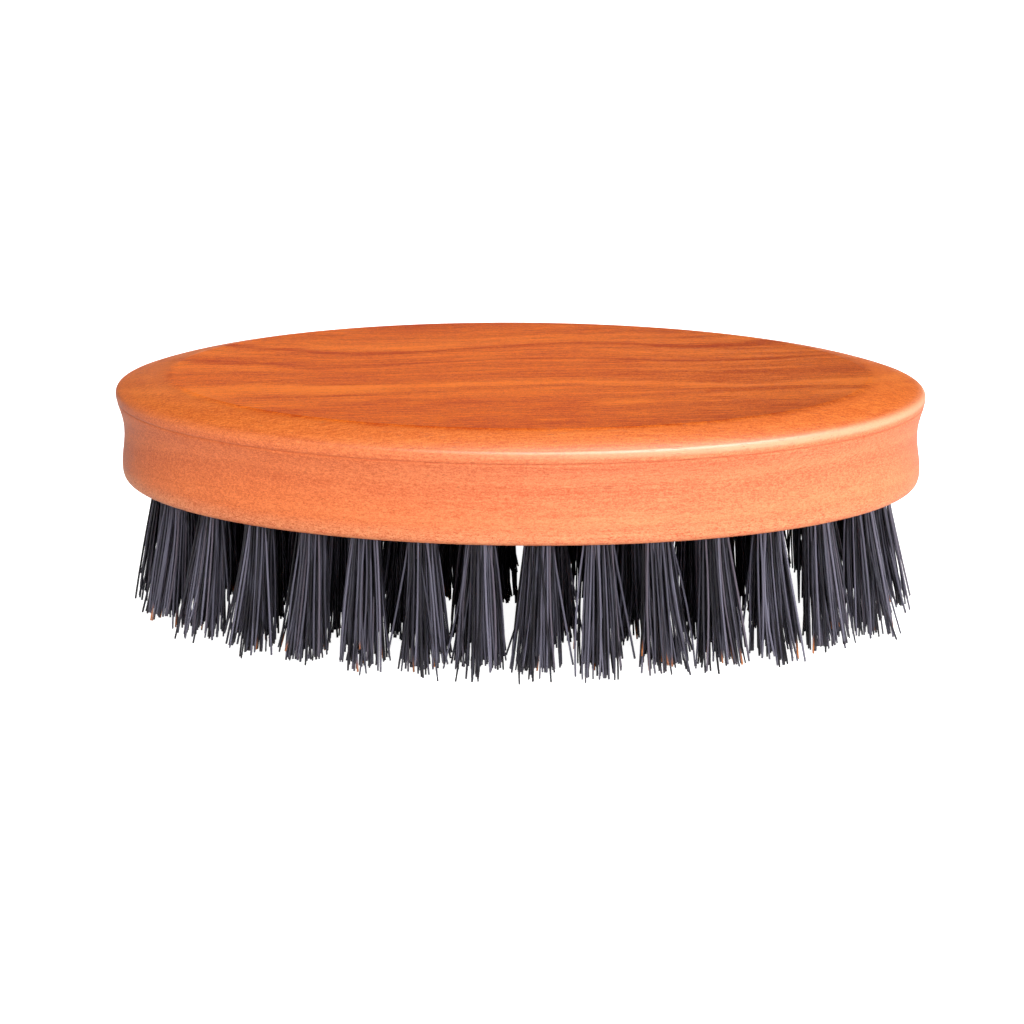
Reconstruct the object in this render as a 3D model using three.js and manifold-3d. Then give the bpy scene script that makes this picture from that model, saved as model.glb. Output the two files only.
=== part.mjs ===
// Palm beard brush: an oval one-piece wooden block with a shallow finger groove round its side,
// filled with tufts of boar bristle that stand in blind drilled holes.
// Millimetres, +Z up. The brush stands on its bristle tips: the origin is on the plane of the
// trimmed tips, under the block's centre, and +X runs along the block.

import * as THREE from "three";
import { ParametricGeometry } from "three/addons/geometries/ParametricGeometry.js";
import { mergeVertices } from "three/addons/utils/BufferGeometryUtils.js";
import Module from "manifold-3d";

// ---------------------------------------------------------------- driving dimensions

const BLOCK_LENGTH = 115;
const BLOCK_WIDTH = 54;
const BLOCK_HEIGHT = 15.5;
const BRISTLE_LENGTH = 20.5; // from the block's underside to the trimmed tips

// Section of the block's side, as inset from the oval outline and height over the underside.
const UNDERSIDE_EDGE = { inset: 1.1, height: 0 };
const LOWER_LIP = { inset: 0.15, height: 1.7 };
const GROOVE = { inset: 0.8, height: 7.6 };
const CREST = { inset: 0, height: 12.7 };
const BEVEL_FOOT = { inset: 0.6, height: 13.7 };
const BEVEL_TOP = { insetAtSides: 4.1, insetAtEnds: 8.2, height: BLOCK_HEIGHT };

// Handles of the curves between those points: how far each curve runs straight up or down.
const RISE_FROM_LIP = 1.8;
const RUN_AT_GROOVE = 2.4;
const FALL_FROM_CREST = 1.4;
const RISE_FROM_CREST = 0.7;
const BEVEL_CROWN = { share: 0.4, rise: 1.1 }; // share of the bevel's width, rise over its foot

// Drilled holes and the tufts in them.
const HOLE_DIAMETER = 4.4;
const HOLE_DEPTH = 9;
const DRILL_POINT = 0.9; // height of the drill's cone over HOLE_DEPTH
const FOLD_DEPTH = 7.9; // how deep the folded end of a tuft sits, under its anchor
const FOLD_DIAMETER = 2.5;
const MOUTH_DIAMETER = 3.8; // of a tuft, where it leaves its hole
const TIP_SPREAD = 1.05; // the pattern of the tips over the pattern of the holes

// Where the holes are: two rows that follow the oval and one straight row between them.
const OUTER_ROW = { length: 101.6, width: 44, count: 30, phase: 0 };
const MIDDLE_ROW = { length: 85, width: 22.6, count: 18, phase: 0 };
const CENTRE_ROW = { pitch: 7.1, count: 10 };

// Fineness of the faceted surfaces.
const SIDES_OF_BLOCK = 96;
const STEPS_PER_CURVE = 4;
const SIDES_OF_HOLE = 12;
const SIDES_OF_TUFT = 12;
const STEPS_ROUND_OVAL = 1000; // for measuring along a row

const UP = new THREE.Vector3(0, 1, 0); // the axis that a lathe turns round
const OVERSHOOT = 3; // how far a cutting tool reaches past the face that it cuts
const TRIM_WIDTH = 20; // of the block that trims a tuft's tips, wider than any tuft

const OILED_WOOD = { color: 0xc4622b, roughness: 0.42, metalness: 0 };
const BOAR_BRISTLE = { color: 0x25242b, roughness: 0.45, metalness: 0 };

// ---------------------------------------------------------------- cutting with manifold-3d

const wasm = await Module();
wasm.setup();

function solidOf(geometry) {
  const bare = geometry.clone();
  bare.deleteAttribute("normal");
  bare.deleteAttribute("uv");
  const merged = mergeVertices(bare);
  const mesh = new wasm.Mesh({
    numProp: 3,
    vertProperties: merged.attributes.position.array,
    triVerts: new Uint32Array(merged.index.array),
  });
  return new wasm.Manifold(mesh);
}

function geometryOf(solid) {
  const mesh = solid.getMesh();
  const geometry = new THREE.BufferGeometry();
  geometry.setAttribute("position", new THREE.BufferAttribute(mesh.vertProperties, 3));
  geometry.setIndex(new THREE.BufferAttribute(mesh.triVerts, 1));
  geometry.computeVertexNormals();
  return geometry;
}

// ---------------------------------------------------------------- the hole pattern

function ovalRow({ length, width, count, phase }) {
  const oval = new THREE.EllipseCurve(0, 0, length / 2, width / 2);
  oval.arcLengthDivisions = STEPS_ROUND_OVAL;
  return Array.from({ length: count }, (_, i) => oval.getPointAt((i + phase) / count));
}

function straightRow({ pitch, count }) {
  const first = (-pitch * (count - 1)) / 2;
  return Array.from({ length: count }, (_, i) => new THREE.Vector2(first + i * pitch, 0));
}

const ROWS = {
  outer: ovalRow(OUTER_ROW),
  middle: ovalRow(MIDDLE_ROW),
  centre: straightRow(CENTRE_ROW),
};

// The direction of a hole and of its tuft, from the tips into the wood: the tufts fan out a little.
function axisAt(mouth) {
  const fan = 1 - TIP_SPREAD;
  return new THREE.Vector3(mouth.x * fan, mouth.y * fan, BRISTLE_LENGTH).normalize();
}

// Turns a lathed shape, whose own axis is +Y from the mouth, to the direction of its hole.
function alongHole(geometry, mouth) {
  const turn = new THREE.Quaternion().setFromUnitVectors(UP, axisAt(mouth));
  return geometry.applyQuaternion(turn);
}

// ---------------------------------------------------------------- the block

function blockSection(bevelInset) {
  const section = new THREE.Path();
  section.moveTo(UNDERSIDE_EDGE.inset, UNDERSIDE_EDGE.height);
  section.quadraticCurveTo(LOWER_LIP.inset, 0, LOWER_LIP.inset, LOWER_LIP.height);
  section.bezierCurveTo(
    LOWER_LIP.inset,
    LOWER_LIP.height + RISE_FROM_LIP,
    GROOVE.inset,
    GROOVE.height - RUN_AT_GROOVE,
    GROOVE.inset,
    GROOVE.height,
  );
  section.bezierCurveTo(
    GROOVE.inset,
    GROOVE.height + RUN_AT_GROOVE,
    CREST.inset,
    CREST.height - FALL_FROM_CREST,
    CREST.inset,
    CREST.height,
  );
  section.quadraticCurveTo(
    CREST.inset,
    CREST.height + RISE_FROM_CREST,
    BEVEL_FOOT.inset,
    BEVEL_FOOT.height,
  );
  section.quadraticCurveTo(
    BEVEL_FOOT.inset + BEVEL_CROWN.share * (bevelInset - BEVEL_FOOT.inset),
    BEVEL_FOOT.height + BEVEL_CROWN.rise,
    bevelInset,
    BEVEL_TOP.height,
  );
  return section.getPoints(STEPS_PER_CURVE);
}

// The block without its holes. Every level is an oval; the bevel is wider at the block's ends.
function blockBlank() {
  const atEnds = blockSection(BEVEL_TOP.insetAtEnds);
  const atSides = blockSection(BEVEL_TOP.insetAtSides);
  const lastStation = atSides.length + 1; // a centre point closes each end
  const surface = (u, v, target) => {
    const station = Math.round(v * lastStation);
    if (station === 0) return target.set(0, 0, 0);
    if (station === lastStation) return target.set(0, 0, BLOCK_HEIGHT);
    const angle = u === 1 ? 0 : u * 2 * Math.PI;
    const halfLength = BLOCK_LENGTH / 2 - atEnds[station - 1].x;
    const halfWidth = BLOCK_WIDTH / 2 - atSides[station - 1].x;
    return target.set(
      halfLength * Math.cos(angle),
      halfWidth * Math.sin(angle),
      atSides[station - 1].y,
    );
  };
  return new ParametricGeometry(surface, SIDES_OF_BLOCK, lastStation);
}

function holeTool(mouth) {
  const radius = HOLE_DIAMETER / 2;
  const profile = [
    new THREE.Vector2(0, -OVERSHOOT),
    new THREE.Vector2(radius, -OVERSHOOT),
    new THREE.Vector2(radius, HOLE_DEPTH),
    new THREE.Vector2(0, HOLE_DEPTH + DRILL_POINT),
  ];
  const tool = alongHole(new THREE.LatheGeometry(profile, SIDES_OF_HOLE), mouth);
  return tool.translate(mouth.x, mouth.y, 0);
}

function makeBlock() {
  let block = solidOf(blockBlank());
  for (const mouth of Object.values(ROWS).flat()) {
    block = block.subtract(solidOf(holeTool(mouth)));
  }
  const mesh = new THREE.Mesh(geometryOf(block), new THREE.MeshStandardMaterial(OILED_WOOD));
  mesh.name = "wooden_block";
  return mesh;
}

// ---------------------------------------------------------------- the tufts

// One tuft as a plain solid: it widens evenly from the fold in its hole to the tips, and its
// tips are trimmed level. Its own origin is the middle of its hole's mouth.
function makeTuft(mouth) {
  const growth = (MOUTH_DIAMETER - FOLD_DIAMETER) / FOLD_DEPTH / 2;
  const reach = BRISTLE_LENGTH + OVERSHOOT;
  const profile = [
    new THREE.Vector2(0, -reach),
    new THREE.Vector2(MOUTH_DIAMETER / 2 + growth * reach, -reach),
    new THREE.Vector2(FOLD_DIAMETER / 2, FOLD_DEPTH),
    new THREE.Vector2(0, FOLD_DEPTH),
  ];
  const whole = alongHole(new THREE.LatheGeometry(profile, SIDES_OF_TUFT), mouth);
  const depthOfTrim = 2 * OVERSHOOT;
  const trim = new THREE.BoxGeometry(TRIM_WIDTH, TRIM_WIDTH, depthOfTrim);
  trim.translate(0, 0, -BRISTLE_LENGTH - depthOfTrim / 2);
  const trimmed = solidOf(whole).subtract(solidOf(trim));
  return new THREE.Mesh(geometryOf(trimmed), new THREE.MeshStandardMaterial(BOAR_BRISTLE));
}

function makeRow(rowName, mouths) {
  const row = new THREE.Group();
  mouths.forEach((mouth, i) => {
    const tuft = makeTuft(mouth);
    tuft.name = `tuft_${rowName}_${String(i + 1).padStart(2, "0")}`;
    tuft.position.set(mouth.x, mouth.y, 0);
    row.add(tuft);
  });
  return row;
}

// ---------------------------------------------------------------- the brush

const brush = new THREE.Group();
const filledBlock = new THREE.Group();
filledBlock.position.z = BRISTLE_LENGTH; // its own zero is the block's underside
filledBlock.add(makeBlock());
for (const [rowName, mouths] of Object.entries(ROWS)) {
  filledBlock.add(makeRow(rowName, mouths));
}
brush.add(filledBlock);

export default brush;
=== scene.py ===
import math

import bpy
import numpy as np
from mathutils import Matrix, Vector


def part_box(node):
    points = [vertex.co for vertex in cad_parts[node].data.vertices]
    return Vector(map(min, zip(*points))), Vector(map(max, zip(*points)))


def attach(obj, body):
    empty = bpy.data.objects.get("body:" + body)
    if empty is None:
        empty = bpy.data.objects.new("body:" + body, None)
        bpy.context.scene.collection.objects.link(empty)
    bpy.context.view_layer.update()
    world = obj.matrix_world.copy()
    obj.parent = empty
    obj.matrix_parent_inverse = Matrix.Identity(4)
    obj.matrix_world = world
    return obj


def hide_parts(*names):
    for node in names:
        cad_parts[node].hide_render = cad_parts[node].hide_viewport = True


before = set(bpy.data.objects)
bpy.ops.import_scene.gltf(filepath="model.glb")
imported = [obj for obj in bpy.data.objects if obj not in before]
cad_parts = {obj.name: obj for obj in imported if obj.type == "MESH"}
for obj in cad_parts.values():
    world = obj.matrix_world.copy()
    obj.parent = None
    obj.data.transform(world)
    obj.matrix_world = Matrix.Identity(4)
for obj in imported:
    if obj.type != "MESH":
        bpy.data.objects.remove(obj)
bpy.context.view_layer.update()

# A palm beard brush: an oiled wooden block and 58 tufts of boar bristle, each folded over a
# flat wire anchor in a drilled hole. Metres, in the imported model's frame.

MM = 0.001
TINY = 1e-9  # keeps a division clear of zero

# ---------------------------------------------------------------- sizes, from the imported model

BLOCK_LOW, BLOCK_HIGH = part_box("wooden_block")
HALF_LENGTH = (BLOCK_HIGH.x - BLOCK_LOW.x) / 2
HALF_WIDTH = (BLOCK_HIGH.y - BLOCK_LOW.y) / 2
UNDERSIDE = BLOCK_LOW.z
BACK = BLOCK_HIGH.z
TUFT_NODES = sorted(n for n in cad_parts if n.startswith("tuft_"))

# The block's section, in millimetres: inset from the oval outline, height over the underside.
UNDERSIDE_EDGE = (1.1, 0.0)
LOWER_LIP = (0.15, 1.7)
GROOVE = (0.8, 7.6)
CREST = (0.0, 12.7)
BEVEL_FOOT = (0.6, 13.7)
BEVEL_INSET_AT_SIDES = 4.1
BEVEL_INSET_AT_ENDS = 8.2

# Handles of the curves between those points: how far each curve runs straight up or down.
RISE_FROM_LIP = 1.8
RUN_AT_GROOVE = 2.4
FALL_FROM_CREST = 1.4
RISE_FROM_CREST = 0.7
BEVEL_CROWN_SHARE = 0.4  # of the bevel's width
BEVEL_CROWN_RISE = 1.1  # over the bevel's foot
STEPS = {"edge": 10, "lip": 16, "groove": 48, "crest": 12, "bevel": 14}  # of each curve
CREASE_HEIGHT = 11.9  # a fine line under the crest, left by the cutter
CREASE_DEPTH = 0.10
CREASE_WIDTH = 0.16

# The wood's growth rings, in millimetres: the heart that they surround is off to one side and
# far below, and wanders along the block.
GRAIN_SKEW = math.radians(6)
HEART_OFFSET = 8.0
HEART_DEPTH = 26.0
HEART_DRIFT = 22.0
LAYER_WOBBLE = 2.0

HOLE_RADIUS = 2.2 * MM
HOLE_DEPTH = 9.0 * MM
DRILL_POINT = 0.9 * MM
MOUTH_CHAMFER = 0.3 * MM
DRILL_OVERSHOOT = 1.0 * MM  # how far the drill reaches past the underside
DRILL_TIP_SHARE = 0.05  # of the hole's radius, left flat at the drill's point
SIDES_OF_DRILL = 32
SHARP_ANGLE = math.radians(7.5)  # edges of the block that bend more than this stay crisp

# How much of a tuft's CAD solid counts as its tips and as its slanting folded end.
TIP_END = 0.1 * MM
FOLD_END = 0.4 * MM

# Bristles and anchors.
BRISTLE_RADIUS = 0.178 * MM
TIP_TAPER = 0.82
BUNDLE_RADIUS = 1.98 * MM
TIP_RADIUS = 4.2 * MM
CLUMPS = 11  # groups of tips that lean together
CLUMP_SPREAD = (0.02, 1.0)  # of the tips' disc: the shares of its area that clumps reach
CLUMP_PULL = 0.4  # at most, of the way from a tip to the middle of its clump
CLUMP_LIFT = 1.6 * MM  # at most, of a clump over the floor
LIFTED_CLUMPS = 0.6  # share of the clumps
SPLAY_AT_CENTRE = 0.62  # of the whole tuft's splay
TIP_JITTER = 0.3 * MM
TIP_LIFT = 0.1 * MM  # at least
TIP_LIFT_JITTER = 0.45 * MM
TAN_SHARE = 0.055
TAN_CLUMP_SHARE = 0.6  # of the tips in the clump that is tan, in about half of the tufts
TAN_STRENGTH = (0.6, 1.0)
TAN_FROM = 0.7  # how far along a free end its tan tip begins
STRAY_SHARE = 0.05
STRAY_JITTER = 1.8 * MM
TIP_LIMIT = 1.05  # times TIP_RADIUS, and more for a stray
STRAY_LIMIT = 0.2
LEAN = 0.4 * MM  # of a whole tuft
SHORT_SHARE = 0.12
CUT_SHORT = (0.5 * MM, 3.0 * MM)
BOW = 0.25 * MM
FLARE_POWER = 1.12  # over 1, so that the free ends curve outwards
THICKNESS_RANGE = (0.82, 1.12)
ANCHOR_DEPTH = 6.3 * MM
ANCHOR_SIZE = (4.9 * MM, 0.36 * MM, 2.2 * MM)
ANCHOR_CORNER = 0.08 * MM

# Points are packed over a whole disc by the golden angle. Those on one side of the anchor are
# kept, one for each folded bristle: 47 of them, which makes 94 free ends in a tuft.
GOLDEN_ANGLE = math.pi * (3 - math.sqrt(5))
DISC_POINTS = 110
ANCHOR_GAP = 0.02 * MM  # from the anchor's face to the middle of the nearest bristle, at least

STEPS_AROUND = 288
SIDES_OF_BRISTLE = 5
FREE_STATIONS = np.array([1.0, 0.93, 0.8, 0.55, 0.28, 0.0])  # from tip to mouth
FOLD_TURNS = (0, 45, 90, 135, 180)

# ---------------------------------------------------------------- mesh helpers


def new_object(name, mesh, material):
    obj = bpy.data.objects.new(name, mesh)
    bpy.context.scene.collection.objects.link(obj)
    mesh.materials.append(material)
    return obj


def curve_points(controls, steps):
    """Points of a Bezier curve of any degree, without its first point."""
    points = []
    for step in range(1, steps + 1):
        t = step / steps
        row = [Vector(c) for c in controls]
        while len(row) > 1:
            row = [a.lerp(b, t) for a, b in zip(row, row[1:])]
        points.append(row[0])
    return points


def mesh_of_polygons(name, points, polygons):
    """A mesh from an array of points and a list of index arrays, one for each number of sides."""
    mesh = bpy.data.meshes.new(name)
    mesh.vertices.add(len(points))
    mesh.vertices.foreach_set("co", np.asarray(points, np.float32).ravel())
    corners = np.concatenate([p.ravel() for p in polygons]).astype(np.int32)
    counts = np.concatenate([np.full(len(p), p.shape[1]) for p in polygons]).astype(np.int32)
    starts = np.concatenate([[0], np.cumsum(counts)[:-1]]).astype(np.int32)
    mesh.loops.add(len(corners))
    mesh.loops.foreach_set("vertex_index", corners)
    mesh.polygons.add(len(counts))
    mesh.polygons.foreach_set("loop_start", starts)
    mesh.polygons.foreach_set("loop_total", counts)
    mesh.update(calc_edges=True)
    mesh.validate()
    return mesh


def loft_polygons(count, around):
    """The side faces and the two end faces that join and close a stack of rings."""
    index = np.arange(count * around).reshape(count, around)
    after = np.roll(index, -1, axis=1)
    sides = np.stack([index[:-1], after[:-1], after[1:], index[1:]], axis=-1).reshape(-1, 4)
    return [sides, np.stack([index[0][::-1], index[-1]])]


# ---------------------------------------------------------------- the block


def block_section(bevel_inset):
    """The section from the underside's edge to the top plane's edge, in millimetres."""
    foot, top = Vector(BEVEL_FOOT), Vector((bevel_inset, (BACK - UNDERSIDE) / MM))
    points = [Vector(UNDERSIDE_EDGE)]
    over_lip = (LOWER_LIP[0], LOWER_LIP[1] + RISE_FROM_LIP)
    under_groove = (GROOVE[0], GROOVE[1] - RUN_AT_GROOVE)
    over_groove = (GROOVE[0], GROOVE[1] + RUN_AT_GROOVE)
    under_crest = (CREST[0], CREST[1] - FALL_FROM_CREST)
    over_crest = (CREST[0], CREST[1] + RISE_FROM_CREST)
    crown = (foot.x + BEVEL_CROWN_SHARE * (top.x - foot.x), foot.y + BEVEL_CROWN_RISE)
    points += curve_points([UNDERSIDE_EDGE, (LOWER_LIP[0], 0), LOWER_LIP], STEPS["edge"])
    points += curve_points([LOWER_LIP, over_lip, under_groove, GROOVE], STEPS["lip"])
    points += curve_points([GROOVE, over_groove, under_crest, CREST], STEPS["groove"])
    points += curve_points([CREST, over_crest, BEVEL_FOOT], STEPS["crest"])
    points += curve_points([foot, crown, top], STEPS["bevel"])
    for point in points:
        distance = (point.y - CREASE_HEIGHT) / CREASE_WIDTH
        point.x += CREASE_DEPTH * math.exp(-distance * distance)
    return np.array(points)


def block_rings():
    at_sides = block_section(BEVEL_INSET_AT_SIDES) * MM
    at_ends = block_section(BEVEL_INSET_AT_ENDS) * MM
    half_widths = HALF_WIDTH - at_sides[:, 0]
    half_lengths = HALF_LENGTH - at_ends[:, 0]
    heights = UNDERSIDE + at_sides[:, 1]
    angle = np.arange(STEPS_AROUND) * 2 * math.pi / STEPS_AROUND
    rings = np.empty((len(heights), STEPS_AROUND, 3))
    rings[:, :, 0] = half_lengths[:, None] * np.cos(angle)
    rings[:, :, 1] = half_widths[:, None] * np.sin(angle)
    rings[:, :, 2] = heights[:, None]
    return rings


def hole_tool(mouth, inward):
    """A drill with a countersink: its axis runs from the mouth into the wood."""
    profile = [
        (HOLE_RADIUS + MOUTH_CHAMFER + DRILL_OVERSHOOT, -DRILL_OVERSHOOT),
        (HOLE_RADIUS + MOUTH_CHAMFER, 0.0),
        (HOLE_RADIUS, MOUTH_CHAMFER),
        (HOLE_RADIUS, HOLE_DEPTH),
        (HOLE_RADIUS * DRILL_TIP_SHARE, HOLE_DEPTH + DRILL_POINT),
    ]
    angle = np.arange(SIDES_OF_DRILL) * 2 * math.pi / SIDES_OF_DRILL
    ring = np.stack([np.cos(angle), np.sin(angle)], axis=-1)
    turn = np.array(Vector((0, 0, 1)).rotation_difference(inward).to_matrix())
    rings = np.array(
        [np.column_stack([ring * radius, np.full(len(ring), depth)]) for radius, depth in profile]
    )
    return rings @ turn.T + np.array(mouth)


def tuft_axis(node):
    """The middle of a tuft's hole mouth and of its tips, from the tuft's CAD solid."""
    points = np.array([v.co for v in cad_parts[node].data.vertices])
    low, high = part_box(node)
    tips = points[points[:, 2] < low.z + TIP_END].mean(axis=0)
    fold = points[points[:, 2] > high.z - FOLD_END].mean(axis=0)
    share = (UNDERSIDE - tips[2]) / (fold[2] - tips[2])
    return Vector(tips + (fold - tips) * share), Vector(tips)


def make_block(axes, material):
    rings = block_rings()
    faces_of_blank = loft_polygons(*rings.shape[:2])
    blank = mesh_of_polygons("oiled_block", rings.reshape(-1, 3), faces_of_blank)
    block = new_object("oiled_block", blank, material)
    tools = [hole_tool(mouth, (mouth - tips).normalized()) for mouth, tips in axes.values()]
    points_per_tool = tools[0].shape[0] * tools[0].shape[1]
    points = np.concatenate([tool.reshape(-1, 3) for tool in tools])
    polygons = [
        np.concatenate([faces + i * points_per_tool for i in range(len(tools))])
        for faces in loft_polygons(*tools[0].shape[:2])
    ]
    drill_mesh = mesh_of_polygons("drills", points, polygons)
    drills = new_object("drills", drill_mesh, material)
    cut = block.modifiers.new("holes", "BOOLEAN")
    cut.operation = "DIFFERENCE"
    cut.object = drills
    cut.solver = "MANIFOLD"
    depsgraph = bpy.context.evaluated_depsgraph_get()
    drilled = bpy.data.meshes.new_from_object(block.evaluated_get(depsgraph))
    block.modifiers.clear()
    block.data = drilled
    bpy.data.objects.remove(drills)
    drilled.shade_smooth()
    drilled.set_sharp_from_angle(angle=SHARP_ANGLE)
    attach(block, "root")
    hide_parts("wooden_block")


# ---------------------------------------------------------------- the tufts


def bristle_roots():
    """Evenly packed points of a half disc, on the side where the second number is positive."""
    i = np.arange(DISC_POINTS)
    distance = np.sqrt((i + 0.5) / DISC_POINTS) * BUNDLE_RADIUS
    angle = i * GOLDEN_ANGLE
    points = np.stack([distance * np.cos(angle), distance * np.sin(angle)], axis=-1)
    return points[points[:, 1] > 0.5 * ANCHOR_SIZE[1] + ANCHOR_GAP]


def free_tips(roots, rng):
    """Where free ends that leave the hole at roots end up, from the middle of the floor under
    their tuft, and which clump each is in. The tips lean together in clumps, the outer ones
    splay out, some are cut short and a few stray."""
    count = len(roots)
    angle = rng.uniform(0, 2 * math.pi, CLUMPS)
    reach = TIP_RADIUS * np.sqrt(rng.uniform(*CLUMP_SPREAD, CLUMPS))
    clumps = np.stack([reach * np.cos(angle), reach * np.sin(angle)], axis=-1)
    clump_lift = rng.uniform(0, CLUMP_LIFT, CLUMPS) * (rng.random(CLUMPS) < LIFTED_CLUMPS)

    share_of_bundle = np.linalg.norm(roots, axis=1, keepdims=True) / BUNDLE_RADIUS
    bend = SPLAY_AT_CENTRE + (1 - SPLAY_AT_CENTRE) * share_of_bundle**2
    splay = TIP_RADIUS / BUNDLE_RADIUS * bend
    tips = roots * splay + rng.normal(0, TIP_JITTER, roots.shape)
    nearest = np.linalg.norm(tips[:, None] - clumps[None], axis=-1).argmin(axis=1)
    tips += (clumps[nearest] - tips) * rng.uniform(0.0, CLUMP_PULL, (count, 1))
    stray = rng.random(count) < STRAY_SHARE
    tips += rng.normal(0, STRAY_JITTER, roots.shape) * stray[:, None]
    length = np.linalg.norm(tips, axis=1, keepdims=True)
    furthest = TIP_RADIUS * (TIP_LIMIT + STRAY_LIMIT * stray[:, None])
    tips *= np.minimum(1, furthest / np.maximum(length, TINY))

    lift = TIP_LIFT + np.abs(rng.normal(0, TIP_LIFT_JITTER, count)) + clump_lift[nearest]
    short = rng.random(count) < SHORT_SHARE
    lift += short * rng.uniform(*CUT_SHORT, count)
    return np.column_stack([tips, lift]), nearest


def free_end(roots, mouth, tips_centre, rng):
    """Points of the free ends from tip to mouth, [bristle, step, xyz], and each one's clump."""
    offsets, clump = free_tips(roots, rng)
    tips = offsets + (tips_centre.x, tips_centre.y, 0)
    starts = np.column_stack([roots, np.zeros(len(roots))]) + np.array(mouth)
    bow = rng.normal(0, BOW, (len(roots), 2))
    along = FREE_STATIONS
    path = starts[:, None] + (tips - starts)[:, None] * along[:, None]
    flare = along**FLARE_POWER - along
    path[:, :, :2] += (tips - starts)[:, None, :2] * flare[:, None]
    path[:, :, :2] += bow[:, None] * (4 * along * (1 - along))[:, None]
    return path, clump


def tuft_paths(mouth, tips_centre, rng):
    """Points of every folded bristle, from one tip over its fold to the other tip, and the
    clumps that its two tips are in."""
    roots = bristle_roots()
    mirrored = roots * (1, -1)
    inward = np.array((mouth - tips_centre).normalized())
    tips_centre = tips_centre + Vector((*rng.normal(0, LEAN, 2), 0))
    one, clump_of_one = free_end(roots, mouth, tips_centre, rng)
    other, clump_of_other = free_end(mirrored, mouth, tips_centre, rng)
    fold = []
    for turn in FOLD_TURNS:
        angle = math.radians(turn)
        across = np.array(mouth) + roots[:, :1] * (1, 0, 0)
        across = across + roots[:, 1:] * math.cos(angle) * np.array((0, 1, 0))
        depth = ANCHOR_DEPTH + roots[:, 1:] * math.sin(angle)
        fold.append(across + depth * inward)
    paths = np.concatenate([one, np.stack(fold, axis=1), other[:, ::-1]], axis=1)
    return paths, np.stack([clump_of_one, clump_of_other])


def bristle_rings(paths, radii):
    """Round sections along each path: [bristle, step, side, xyz]."""
    tangent = np.gradient(paths, axis=1)
    tangent /= np.linalg.norm(tangent, axis=-1, keepdims=True)
    across = np.cross(tangent, (1.0, 0.0, 0.0))
    across /= np.linalg.norm(across, axis=-1, keepdims=True)
    beside = np.cross(across, tangent)
    angle = np.arange(SIDES_OF_BRISTLE) * 2 * math.pi / SIDES_OF_BRISTLE
    ring = beside[:, :, None] * np.cos(angle)[:, None] + across[:, :, None] * np.sin(angle)[:, None]
    return paths[:, :, None] + ring * radii[:, :, None, None]


def make_tuft(node, mouth, tips_centre, material, rng):
    paths, clumps = tuft_paths(mouth, tips_centre, rng)
    count, steps = paths.shape[:2]
    taper = np.abs(np.linspace(-1, 1, steps))
    thickness = BRISTLE_RADIUS * rng.uniform(*THICKNESS_RANGE, (count, 1))
    radii = thickness * (1 - (1 - TIP_TAPER) * taper)
    rings = bristle_rings(paths, radii)
    index = np.arange(rings[..., 0].size).reshape(rings.shape[:3])
    after = np.roll(index, -1, axis=2)
    sides = np.stack([index[:, :-1], after[:, :-1], after[:, 1:], index[:, 1:]], axis=-1)
    ends = np.concatenate([index[:, 0, ::-1], index[:, -1]])
    name = node.replace("tuft", "bristles")
    mesh = mesh_of_polygons(name, rings.reshape(-1, 3), [sides.reshape(-1, 4), ends])
    mesh.shade_smooth()

    # What the material reads: the bristle's own shade, how tan it is, and how near its tip.
    first = np.arange(steps) <= steps // 2
    shade_one, shade_other = rng.random((2, count, 1))
    shade = np.where(first, shade_one, shade_other)
    tan_share = np.where(clumps == rng.integers(2 * CLUMPS), TAN_CLUMP_SHARE, TAN_SHARE)
    tan_tips = (rng.random((2, count)) < tan_share) * rng.uniform(*TAN_STRENGTH, (2, count))
    tan = np.where(first, tan_tips[0][:, None], tan_tips[1][:, None])
    colour = np.ones((count, steps, SIDES_OF_BRISTLE, 4), np.float32)
    colour[..., 0] = shade[:, :, None]
    at_tip = np.clip((taper - TAN_FROM) / (1 - TAN_FROM), 0, 1)
    colour[..., 1] = tan[:, :, None] * at_tip[:, None]
    colour[..., 2] = taper[:, None]
    attribute = mesh.attributes.new("bristle", "FLOAT_COLOR", "POINT")
    attribute.data.foreach_set("color", colour.ravel())

    tuft = new_object(name, mesh, material)
    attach(tuft, "root")
    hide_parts(node)


def make_anchors(axes, material):
    """A short flat wire across the bottom of every hole, all in one piece."""
    width, thickness, height = ANCHOR_SIZE
    points, faces = [], []
    for mouth, tips_centre in axes.values():
        inward = (mouth - tips_centre).normalized()
        turn = Vector((0, 0, 1)).rotation_difference(inward).to_matrix()
        start = len(points)
        outline = []
        for sx, sy in ((1, 1), (-1, 1), (-1, -1), (1, -1)):
            near, far = thickness / 2 - ANCHOR_CORNER, width / 2 - ANCHOR_CORNER
            pair = [(sx * width / 2, sy * near), (sx * far, sy * thickness / 2)]
            outline += pair if sx * sy > 0 else pair[::-1]
        for depth in (ANCHOR_DEPTH - height, ANCHOR_DEPTH):
            points += [mouth + turn @ Vector((x, y, depth)) for x, y in outline]
        around = len(outline)
        ring = np.arange(around)
        sides = np.stack([ring, (ring + 1) % around, (ring + 1) % around + around, ring + around])
        faces.append((start + sides.T, start + np.stack([ring[::-1], ring + around])))
    polygons = [np.concatenate(kind) for kind in zip(*faces)]
    mesh = mesh_of_polygons("anchor_wires", np.array(points), polygons)
    anchors = new_object("anchor_wires", mesh, material)
    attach(anchors, "root")


# ---------------------------------------------------------------- material helpers


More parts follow.
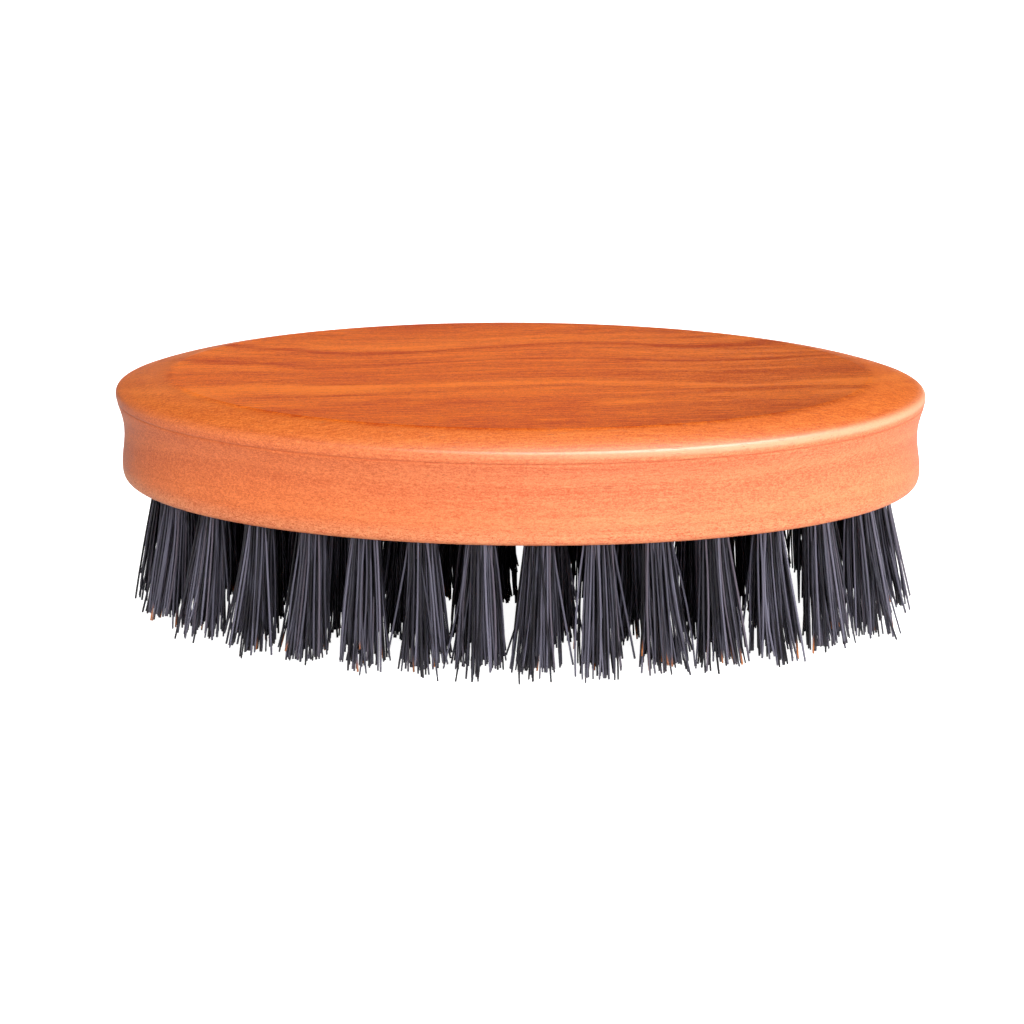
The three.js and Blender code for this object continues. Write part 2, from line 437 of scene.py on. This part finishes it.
class Nodes:
    """A material's node tree, with one short call for each kind of node."""

    def __init__(self, name):
        self.material = bpy.data.materials.new(name)
        self.material.use_nodes = True
        self.tree = self.material.node_tree
        self.tree.nodes.clear()
        self.output = self.tree.nodes.new("ShaderNodeOutputMaterial")

    def put(self, socket, value):
        if isinstance(value, bpy.types.NodeSocket):
            self.tree.links.new(value, socket)
        elif value is not None:
            socket.default_value = value

    def node(self, kind, settings=None, **inputs):
        node = self.tree.nodes.new(kind)
        for key, value in (settings or {}).items():
            setattr(node, key, value)
        for key, value in inputs.items():
            self.put(node.inputs[key.replace("_", " ")], value)
        return node

    def math(self, operation, a, b=None, c=None, clamp=False):
        node = self.tree.nodes.new("ShaderNodeMath")
        node.operation = operation
        node.use_clamp = clamp
        for socket, value in zip(node.inputs, (a, b, c)):
            self.put(socket, value)
        return node.outputs[0]

    def mix(self, factor, a, b):
        node = self.tree.nodes.new("ShaderNodeMix")
        node.data_type = "RGBA"
        self.put(node.inputs["Factor"], factor)
        self.put(node.inputs["A"], a)
        self.put(node.inputs["B"], b)
        return node.outputs["Result"]

    def between(self, factor, screen_colours):
        """A mix of two colours that are given as 0 to 255 screen values."""
        return self.mix(factor, *(srgb(*colour) for colour in screen_colours))

    def span(self, value, low, high, to_low=0.0, to_high=1.0):
        """Smoothly maps low..high to to_low..to_high."""
        node = self.tree.nodes.new("ShaderNodeMapRange")
        node.interpolation_type = "SMOOTHSTEP"
        for socket, number in zip(node.inputs[1:5], (low, high, to_low, to_high)):
            socket.default_value = number
        self.put(node.inputs["Value"], value)
        return node.outputs["Result"]

    def stretched(self, place, scale, turn=(0, 0, 0)):
        mapping = self.node("ShaderNodeMapping", Vector=place)
        mapping.inputs["Scale"].default_value = scale
        mapping.inputs["Rotation"].default_value = turn
        return mapping.outputs[0]

    def noise(self, place, scale, detail, roughness=0.5):
        node = self.node(
            "ShaderNodeTexNoise", Vector=place, Scale=scale, Detail=detail, Roughness=roughness
        )
        return node.outputs["Fac"]

    def bands(self, value, scale, detail):
        """Uneven layers across a value: noise that changes with it alone."""
        node = self.node(
            "ShaderNodeTexNoise", {"noise_dimensions": "1D"}, W=value, Scale=scale, Detail=detail
        )
        return node.outputs["Fac"]

    def weighed(self, noises, weights):
        """The sum of the noises that have a weight, each taken from its middle value."""
        total = 0.0
        for name, weight in weights.items():
            from_middle = self.math("SUBTRACT", noises[name], 0.5)
            total = self.math("MULTIPLY_ADD", from_middle, weight, total)
        return total

    def bump(self, height, strength, distance):
        node = self.node("ShaderNodeBump", Height=height)
        node.inputs["Strength"].default_value = strength
        node.inputs["Distance"].default_value = distance
        return node.outputs[0]


def srgb(red, green, blue):
    """A linear colour from 0 to 255 screen values."""
    values = []
    for value in (red, green, blue):
        v = value / 255
        values.append(v / 12.92 if v <= 0.04045 else ((v + 0.055) / 1.055) ** 2.4)
    return (*values, 1.0)


# ---------------------------------------------------------------- the wood

# The noises in the grain: cycles in a millimetre along and across it, detail and roughness.
GRAIN_NOISES = {
    "drift": ((0.014, 0.03, 0.03), 1.0, 0.5),
    "wobble": ((0.03, 0.2, 0.2), 3.0, 0.6),
    "streak": ((0.022, 0.55, 0.55), 4.0, 0.6),
    "fibre": ((0.1, 3.0, 3.0), 5.0, 0.65),
    "fleck": ((1.6, 4.4, 4.4), 3.0, 0.7),
    "speckle": ((4.5, 7.0, 7.0), 2.0, 0.6),
    "pores": ((0.5, 6.0, 6.0), 2.0, 0.5),
}
LAYERS = (0.3, 2.0)  # layers in a millimetre of the rings' radius, and detail
FINE_LAYERS = (1.9, 3.0)
PORE_LEVELS = (0.64, 0.74)  # of its noise, between which a pore opens

# How much each noise lightens or darkens the wood.
FIGURE_WEIGHTS = {"layers": 1.7, "fine_layers": 1.0, "streak": 0.9, "fibre": 1.5}
GRAIN_WEIGHTS = {"fibre": 0.6, "fleck": 1.7, "speckle": 1.6}
BOLDNESS = 0.3  # of the figure, on the sides
BOLDER_ON_TOP = 0.5
BOLDER_ON_BEVEL = 0.2

# Where each zone of the surface begins and ends, in millimetres: heights over the underside,
# distances from a height, or places along the block.
TOP_HEIGHT = (BACK - UNDERSIDE) / MM
TOP_ZONE = (TOP_HEIGHT - 0.3, TOP_HEIGHT - 0.01)
TOP_EDGE_ZONE = (TOP_HEIGHT - 0.5, TOP_HEIGHT - 0.1)
BEVEL_ZONE = (CREST[1] - 0.1, CREST[1] + 1.7)
# Painted light on the lower lip, as if the floor lit it from below.
LIP_LIGHT_ZONE = (0.8, 3.0)
# Painted shade at the edge of the underside.
UNDERSIDE_SHADE_ZONE = (0.0, 0.9)
CREASE_REACH = (0.03, 0.24)
# A painted highlight along the crest: its height, its reach and where along the block it grows.
PAINTED_HIGHLIGHT_HEIGHT = CREST[1] + 0.5
PAINTED_HIGHLIGHT_REACH = (0.1, 0.8)
PAINTED_HIGHLIGHT_END = (-20.0, 35.0)
# Painted shade: the sides grow darker towards the -X end.
PAINTED_SHADE_END = (-36.0, 20.0)
HEARTWOOD_END = (0.0, 45.0)

# Colours as 0 to 255 screen values, some as a dark and a light one, and how much of each shows.
SIDE = ((220, 101, 61), (254, 157, 107))
# The sides' colours in that painted shade.
SIDE_IN_PAINTED_SHADE = ((206, 90, 42), (250, 138, 76))
BEVEL = ((206, 84, 18), (248, 136, 54))
TOP = ((190, 58, 0), (255, 130, 28))
HEARTWOOD = ((158, 56, 6), (232, 120, 42))
HEARTWOOD_SHARE = 0.7
TOP_EDGE = (176, 70, 16)
TOP_EDGE_SHARE = 0.3
# The painted highlight on the crest.
PAINTED_HIGHLIGHT = (255, 196, 158)
PAINTED_HIGHLIGHT_SHARE = 0.6
PAINTED_HIGHLIGHT_ELSEWHERE = 0.1  # of that share, away from the +X end
# The painted light on the lower lip.
LIP_PAINTED_LIGHT = (255, 184, 132)
LIP_PAINTED_LIGHT_SHARE = 0.6
PORE = (132, 56, 26)
PORE_SHARE = 0.4
CREASE = (190, 84, 44)
CREASE_SHARE = 0.4
# The painted shade at the bristle side's edge.
UNDERSIDE_SHADE = (160, 86, 58)
UNDERSIDE_SHADE_SHARE = 0.4

FIBRE_RELIEF = 0.5
FLECK_RELIEF = 0.4
PORE_RELIEF = 0.6
ROUGHNESS = 0.35
ROUGHER_IN_PORES = 0.12
ROUGHER_IN_FIBRES = 0.16
SMOOTHER_ON_TOP = 0.1
WOOD_SPECULAR = 0.42
WOOD_BUMP = (0.4, 0.06 * MM)  # strength and depth


def wood_noises(n, mm):
    """Noises that follow the grain, which runs a little askew along the block. The layers are
    growth rings round a heart that lies far below, so the back is cut along them."""
    grain_space = n.stretched(mm, (1, 1, 1), (0, 0, -GRAIN_SKEW))
    noises = {
        name: n.noise(n.stretched(grain_space, scale), 1.0, detail, roughness)
        for name, (scale, detail, roughness) in GRAIN_NOISES.items()
    }
    skewed = n.node("ShaderNodeSeparateXYZ", Vector=grain_space)
    away_y = n.math("ADD", skewed.outputs["Y"], HEART_OFFSET)
    away_y = n.math("MULTIPLY_ADD", noises["drift"], HEART_DRIFT, away_y)
    away_z = n.math("ADD", skewed.outputs["Z"], HEART_DEPTH)
    squares = n.math("ADD", n.math("MULTIPLY", away_y, away_y), n.math("MULTIPLY", away_z, away_z))
    radius = n.math("MULTIPLY_ADD", noises["wobble"], LAYER_WOBBLE, n.math("SQRT", squares))
    noises["layers"] = n.bands(radius, *LAYERS)
    noises["fine_layers"] = n.bands(radius, *FINE_LAYERS)
    return noises


def wood_tone(n, noises, on_top, on_bevel):
    """How light the wood is, from 0 to 1: its figure is bold on the back and faint on the sides."""
    bold = n.math("MULTIPLY_ADD", on_top, BOLDER_ON_TOP, BOLDNESS)
    bold = n.math("MULTIPLY_ADD", on_bevel, BOLDER_ON_BEVEL, bold)
    figure = n.math("MULTIPLY", n.weighed(noises, FIGURE_WEIGHTS), bold)
    grain = n.weighed(noises, GRAIN_WEIGHTS)
    return n.math("ADD", n.math("ADD", figure, grain), 0.5, clamp=True)


def wood_colour(n, x, height, tone, on_top, on_bevel, pore):
    # Painted shade: the sides darken towards the -X end, where less light falls.
    painted_shade_end = n.span(x, *PAINTED_SHADE_END, 1.0, 0.0)
    side = n.mix(painted_shade_end, n.between(tone, SIDE), n.between(tone, SIDE_IN_PAINTED_SHADE))
    at_heart = n.span(x, *HEARTWOOD_END, 0.0, HEARTWOOD_SHARE)
    top = n.mix(at_heart, n.between(tone, TOP), n.between(tone, HEARTWOOD))
    colour = n.mix(on_top, n.mix(on_bevel, side, n.between(tone, BEVEL)), top)

    # A darker line round the edge of the top plane.
    by_edge = n.math("MULTIPLY", n.span(height, *TOP_EDGE_ZONE, 0.0, TOP_EDGE_SHARE), tone)
    by_edge = n.math("MULTIPLY", by_edge, n.math("SUBTRACT", 1.0, on_top))
    colour = n.mix(by_edge, colour, srgb(*TOP_EDGE))

    # A painted highlight makes the crest paler, most of all towards the +X end, and painted light
    # from the floor below makes the lower lip paler.
    from_crest = n.math("ABSOLUTE", n.math("SUBTRACT", height, PAINTED_HIGHLIGHT_HEIGHT))
    highlight_band = n.span(from_crest, *PAINTED_HIGHLIGHT_REACH, PAINTED_HIGHLIGHT_SHARE, 0.0)
    painted_highlight = n.math("MULTIPLY", highlight_band, n.span(x, *PAINTED_HIGHLIGHT_END, PAINTED_HIGHLIGHT_ELSEWHERE, 1.0))
    colour = n.mix(painted_highlight, colour, srgb(*PAINTED_HIGHLIGHT))
    lip_light = n.span(height, *LIP_LIGHT_ZONE, LIP_PAINTED_LIGHT_SHARE, 0.0)
    colour = n.mix(n.math("MULTIPLY", lip_light, tone), colour, srgb(*LIP_PAINTED_LIGHT))
    colour = n.mix(n.math("MULTIPLY", pore, PORE_SHARE), colour, srgb(*PORE))

    # A thin dark line in the crease under the crest, and painted shade at the bristle side's edge.
    from_crease = n.math("ABSOLUTE", n.math("SUBTRACT", height, CREASE_HEIGHT))
    in_crease = n.span(from_crease, *CREASE_REACH, CREASE_SHARE, 0.0)
    colour = n.mix(in_crease, colour, srgb(*CREASE))
    shaded_low_edge = n.span(height, *UNDERSIDE_SHADE_ZONE, UNDERSIDE_SHADE_SHARE, 0.0)
    return n.mix(shaded_low_edge, colour, srgb(*UNDERSIDE_SHADE))


def wood_material():
    n = Nodes("oiled_pearwood")
    mm = n.stretched(n.node("ShaderNodeTexCoord").outputs["Object"], (1 / MM, 1 / MM, 1 / MM))
    split = n.node("ShaderNodeSeparateXYZ", Vector=mm)
    height = n.math("SUBTRACT", split.outputs["Z"], UNDERSIDE / MM)
    on_top = n.span(height, *TOP_ZONE)
    on_bevel = n.span(height, *BEVEL_ZONE)
    noises = wood_noises(n, mm)
    tone = wood_tone(n, noises, on_top, on_bevel)
    pore = n.span(noises["pores"], *PORE_LEVELS)
    fibre, fleck = noises["fibre"], noises["fleck"]

    relief = n.math("MULTIPLY_ADD", fibre, FIBRE_RELIEF, n.math("MULTIPLY", fleck, FLECK_RELIEF))
    relief = n.math("SUBTRACT", relief, n.math("MULTIPLY", pore, PORE_RELIEF))
    roughness = n.math("MULTIPLY_ADD", pore, ROUGHER_IN_PORES, ROUGHNESS)
    roughness = n.math("MULTIPLY_ADD", fibre, ROUGHER_IN_FIBRES, roughness)
    roughness = n.math("MULTIPLY_ADD", on_top, -SMOOTHER_ON_TOP, roughness)
    shader = n.node(
        "ShaderNodeBsdfPrincipled",
        Base_Color=wood_colour(n, split.outputs["X"], height, tone, on_top, on_bevel, pore),
        Roughness=roughness,
        Normal=n.bump(relief, *WOOD_BUMP),
    )
    shader.inputs["Specular IOR Level"].default_value = WOOD_SPECULAR
    n.put(n.output.inputs["Surface"], shader.outputs[0])
    return n.material


# ---------------------------------------------------------------- bristles, wire and floor

# Colours as 0 to 255 screen values, noises as cycles in a metre, and spans: where in a noise or
# an attribute an effect begins and is whole.
MIDDLE = (0.3, 0.7)
BRISTLE = ((15, 13, 20), (130, 127, 145))
SHADE_POWER = 2.2  # over 1, so that most bristles are dark and a few are pale
BROWNISH = (72, 54, 54)
BROWNISH_SPAN = (0.9, 0.93)
BROWNISH_SHARE = 0.5
MOTTLED = (112, 112, 130)
MOTTLED_SPAN = (0.5, 0.8)
MOTTLED_SHARE = 0.35
WORN_TIP = (110, 102, 108)
WORN_SPAN = (0.9, 1.0)
WORN_SHARE = 0.2
TAN_TIP = (214, 128, 66)
TAN_SPAN = (0.3, 0.8)
BRISTLE_SCALES = (9000, 9000, 1200)
BRISTLE_MOTTLING = (900, 900, 120)
BRISTLE_ROUGHNESS = (0.34, 0.5)
BRISTLE_BUMP = (0.3, 0.02 * MM)

WIRE = ((176, 174, 168), (212, 210, 204))
DRAWN_SPAN = (0.35, 0.7)
DRAWN_LINES = (300, 9000, 9000)
TARNISH = (140, 128, 108)
TARNISH_SPAN = (0.5, 0.75)
TARNISH_SHARE = 0.5
TARNISH_SCALE = 900.0
WIRE_ROUGHNESS = (0.28, 0.42)
WIRE_BUMP = (0.2, 0.01 * MM)

FLOOR_GREYS = ((0.83, 0.83, 0.83, 1), (0.85, 0.85, 0.85, 1))
FLOOR_CLOUDS = 3.0
FLOOR_GLOW = 0.96


def bristle_material():
    n = Nodes("boar_bristle")
    facts = n.node("ShaderNodeAttribute", {"attribute_name": "bristle"})
    split = n.node("ShaderNodeSeparateColor", Color=facts.outputs["Color"])
    shade, tan, along = split.outputs[0], split.outputs[1], split.outputs[2]
    place = n.node("ShaderNodeTexCoord").outputs["Object"]
    scales = n.noise(n.stretched(place, BRISTLE_SCALES), 1.0, 2.0)
    mottling = n.noise(n.stretched(place, BRISTLE_MOTTLING), 1.0, 2.0)
    dark = n.between(n.math("POWER", shade, SHADE_POWER), BRISTLE)
    brownish = n.math("MULTIPLY", n.span(shade, *BROWNISH_SPAN), BROWNISH_SHARE)
    mottled = n.span(mottling, *MOTTLED_SPAN, 0.0, MOTTLED_SHARE)
    worn = n.span(along, *WORN_SPAN, 0.0, WORN_SHARE)
    colour = n.mix(brownish, dark, srgb(*BROWNISH))
    colour = n.mix(mottled, colour, srgb(*MOTTLED))
    colour = n.mix(worn, colour, srgb(*WORN_TIP))
    colour = n.mix(n.span(tan, *TAN_SPAN), colour, srgb(*TAN_TIP))
    shader = n.node(
        "ShaderNodeBsdfPrincipled",
        Base_Color=colour,
        Roughness=n.span(scales, *MIDDLE, *BRISTLE_ROUGHNESS),
        Normal=n.bump(scales, *BRISTLE_BUMP),
    )
    n.put(n.output.inputs["Surface"], shader.outputs[0])
    return n.material


def wire_material():
    n = Nodes("anchor_wire")
    place = n.node("ShaderNodeTexCoord").outputs["Object"]
    drawn = n.noise(n.stretched(place, DRAWN_LINES), 1.0, 4.0)
    tarnish = n.noise(place, TARNISH_SCALE, 4.0)
    colour = n.between(n.span(drawn, *DRAWN_SPAN), WIRE)
    tarnished = n.span(tarnish, *TARNISH_SPAN, 0.0, TARNISH_SHARE)
    colour = n.mix(tarnished, colour, srgb(*TARNISH))
    shader = n.node(
        "ShaderNodeBsdfPrincipled",
        Base_Color=colour,
        Roughness=n.span(drawn, *MIDDLE, *WIRE_ROUGHNESS),
        Normal=n.bump(drawn, *WIRE_BUMP),
    )
    shader.inputs["Metallic"].default_value = 1.0
    n.put(n.output.inputs["Surface"], shader.outputs[0])
    return n.material


def floor_material():
    """A pale matt floor, which the camera sees a little brighter than it lights the brush. From
    below it is clear, so that the brush can be seen from there too."""
    n = Nodes("pale_floor")
    place = n.node("ShaderNodeTexCoord").outputs["Object"]
    cloud = n.noise(place, FLOOR_CLOUDS, 2.0)
    matt = n.node("ShaderNodeBsdfDiffuse")
    n.put(matt.inputs["Color"], n.mix(cloud, *FLOOR_GREYS))
    glow = n.node("ShaderNodeEmission")
    glow.inputs["Strength"].default_value = FLOOR_GLOW
    rays = n.node("ShaderNodeLightPath")
    both = n.node("ShaderNodeAddShader")
    n.put(both.inputs[0], matt.outputs[0])
    n.put(both.inputs[1], glow.outputs[0])
    choose = n.node("ShaderNodeMixShader")
    n.put(choose.inputs[0], rays.outputs["Is Camera Ray"])
    n.put(choose.inputs[1], matt.outputs[0])
    n.put(choose.inputs[2], both.outputs[0])
    one_way = n.node("ShaderNodeMixShader")
    n.put(one_way.inputs[0], n.node("ShaderNodeNewGeometry").outputs["Backfacing"])
    n.put(one_way.inputs[1], choose.outputs[0])
    n.put(one_way.inputs[2], n.node("ShaderNodeBsdfTransparent").outputs[0])
    n.put(n.output.inputs["Surface"], one_way.outputs[0])
    return n.material


# ---------------------------------------------------------------- camera, lights and floor

CAMERA_AZIMUTH = math.radians(3.1)
CAMERA_ELEVATION = math.radians(20.48)
CAMERA_DISTANCE = 308 * MM
CAMERA_TARGET = Vector((0, 0, UNDERSIDE + 7 * MM))
CAMERA_YAW = math.radians(0.17)
CAMERA_PITCH = math.radians(-2.24)
CAMERA_ROLL = math.radians(0.49)
CAMERA_LENS = 75.5  # millimetres, on a sensor CAMERA_SENSOR wide
CAMERA_SENSOR = 36
CAMERA_NEAR = 0.01
FLOOR_RADIUS = 3.0
SIDES_OF_FLOOR = 96

# Azimuth and elevation in degrees, distance and size in metres, power in watts, and a colour.
LIGHTS = {
    "key": (30, 22, 0.75, (0.4, 0.3), 4.75),
    "right_fill": (85, 10, 0.6, (0.4, 0.3), 0.8),
    "left_rim": (-80, 12, 0.6, (0.3, 0.3), 0.15, (0.75, 0.82, 1)),
    "back_fill": (190, 20, 0.75, (0.5, 0.3), 3.4),
    "overhead": (10, 66, 0.7, (0.4, 0.3), 2.3),
}
CREST_GLOSS = (36, 62, 0.7, (0.5, 0.24), 12.0)
ROOM_GREY = (0.1, 0.1, 0.105, 1)


def make_camera():
    azimuth, elevation = CAMERA_AZIMUTH, CAMERA_ELEVATION
    back = Vector(
        (
            math.sin(azimuth) * math.cos(elevation),
            -math.cos(azimuth) * math.cos(elevation),
            math.sin(elevation),
        )
    )
    right = Vector((math.cos(azimuth), math.sin(azimuth), 0))
    up = back.cross(right)
    towards = Matrix((right, up, back)).transposed().to_4x4()
    aim = (
        Matrix.Rotation(CAMERA_YAW, 4, "Y")
        @ Matrix.Rotation(CAMERA_PITCH, 4, "X")
        @ Matrix.Rotation(-CAMERA_ROLL, 4, "Z")
    )
    camera = bpy.data.objects.new("camera", bpy.data.cameras.new("camera"))
    camera.data.lens = CAMERA_LENS
    camera.data.sensor_width = CAMERA_SENSOR
    camera.data.clip_start = CAMERA_NEAR
    bpy.context.scene.collection.objects.link(camera)
    place = Matrix.Translation(CAMERA_TARGET + back * CAMERA_DISTANCE)
    camera.matrix_world = place @ towards @ aim
    bpy.context.scene.camera = camera


def make_softbox(name, azimuth, elevation, distance, size, power, colour=(1, 1, 1), gloss=False):
    """A soft light aimed at the brush. Azimuth is to the right of the front, in degrees. A gloss
    light is only mirrored, and the others only light: a low one would glare off the flat back."""
    a, e = math.radians(azimuth), math.radians(elevation)
    towards = Vector((math.sin(a) * math.cos(e), -math.cos(a) * math.cos(e), math.sin(e)))
    lamp = bpy.data.lights.new(name, "AREA")
    lamp.shape = "RECTANGLE"
    lamp.size, lamp.size_y = size
    lamp.energy = power
    lamp.color = colour
    box = bpy.data.objects.new(name, lamp)
    box.visible_glossy = gloss
    box.visible_diffuse = not gloss
    box.location = Vector((0, 0, UNDERSIDE)) + towards * distance
    box.rotation_mode = "QUATERNION"
    box.rotation_quaternion = (-towards).to_track_quat("-Z", "Y")
    bpy.context.scene.collection.objects.link(box)


def make_lights():
    for name, place in LIGHTS.items():
        make_softbox(name, *place)
    make_softbox("crest_gloss", *CREST_GLOSS, gloss=True)


def make_world():
    """White where the camera looks straight at it, and a dim grey room for light and gloss."""
    world = bpy.data.worlds.new("studio")
    bpy.context.scene.world = world
    world.use_nodes = True
    tree = world.node_tree
    tree.nodes.clear()
    output = tree.nodes.new("ShaderNodeOutputWorld")
    seen = tree.nodes.new("ShaderNodeBackground")
    seen.inputs["Color"].default_value = (1, 1, 1, 1)
    room = tree.nodes.new("ShaderNodeBackground")
    room.inputs["Color"].default_value = ROOM_GREY
    rays = tree.nodes.new("ShaderNodeLightPath")
    choose = tree.nodes.new("ShaderNodeMixShader")
    tree.links.new(rays.outputs["Is Camera Ray"], choose.inputs["Fac"])
    tree.links.new(room.outputs[0], choose.inputs[1])
    tree.links.new(seen.outputs[0], choose.inputs[2])
    tree.links.new(choose.outputs[0], output.inputs["Surface"])


def make_floor():
    corner = np.arange(SIDES_OF_FLOOR)
    angle = corner * 2 * math.pi / SIDES_OF_FLOOR
    ring = np.stack([np.cos(angle), np.sin(angle), np.zeros(SIDES_OF_FLOOR)], axis=-1)
    mesh = mesh_of_polygons("floor", ring * FLOOR_RADIUS, [corner[None]])
    floor = new_object("floor", mesh, floor_material())


# ---------------------------------------------------------------- the scene

FIRST_SEED = 100  # each tuft has a seed of its own

make_camera()
make_lights()
make_world()
make_floor()
bpy.context.scene.view_settings.view_transform = "Standard"

tuft_axes = {node: tuft_axis(node) for node in TUFT_NODES}
make_block(tuft_axes, wood_material())
bristle_look = bristle_material()
for seed, (tuft_node, (hole_mouth, tuft_tips)) in enumerate(tuft_axes.items(), FIRST_SEED):
    make_tuft(tuft_node, hole_mouth, tuft_tips, bristle_look, np.random.default_rng(seed))
make_anchors(tuft_axes, wire_material())
